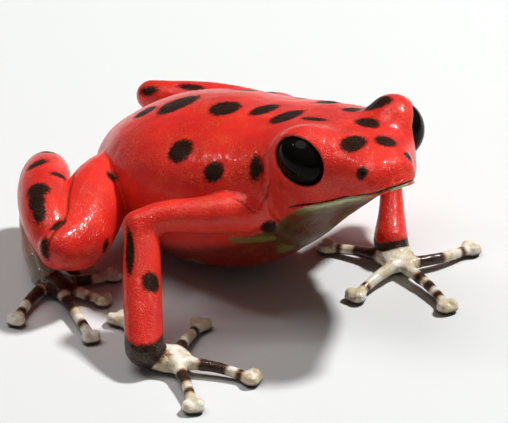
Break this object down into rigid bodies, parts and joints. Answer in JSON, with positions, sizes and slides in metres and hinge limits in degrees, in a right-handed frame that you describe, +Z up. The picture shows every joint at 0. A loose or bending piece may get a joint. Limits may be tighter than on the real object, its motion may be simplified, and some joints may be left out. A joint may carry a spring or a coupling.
{
  "type": "model of a poison dart frog",
  "caption": "Life-size still model of a strawberry poison dart frog, sitting with its head raised and its hands and feet spread flat.",
  "frame": {"origin": "middle of the model's base, on the floor", "axes": "+X forward along the trunk, +Y to the frog's left, +Z up"},
  "size_m": [0.0226, 0.0244, 0.0104],
  "materials": {
    "skin_torso": "glossy",
    "skin_head": "glossy",
    "eye_left": "glossy",
    "eye_right": "glossy",
    "skin_upper_arm_left": "glossy",
    "skin_upper_arm_right": "glossy",
    "skin_forearm_left": "glossy",
    "skin_forearm_right": "glossy",
    "skin_hand_left": "glossy",
    "skin_hand_right": "glossy",
    "skin_thigh_left": "glossy",
    "skin_thigh_right": "glossy",
    "skin_shank_left": "glossy",
    "skin_shank_right": "glossy",
    "skin_tarsus_left": "glossy",
    "skin_tarsus_right": "glossy",
    "skin_foot_left": "glossy",
    "skin_foot_right": "glossy"
  },
  "bodies": {
    "root": {"torso": "skin_torso", "head": "skin_head", "eye_left": "eye_left", "eye_right": "eye_right", "upper_arm_left": "skin_upper_arm_left", "upper_arm_right": "skin_upper_arm_right", "forearm_left": "skin_forearm_left", "forearm_right": "skin_forearm_right", "hand_left": "skin_hand_left", "hand_right": "skin_hand_right", "thigh_left": "skin_thigh_left", "thigh_right": "skin_thigh_right", "shank_left": "skin_shank_left", "shank_right": "skin_shank_right", "tarsus_left": "skin_tarsus_left", "tarsus_right": "skin_tarsus_right", "foot_left": "skin_foot_left", "foot_right": "skin_foot_right"}
  },
  "joints": []
}
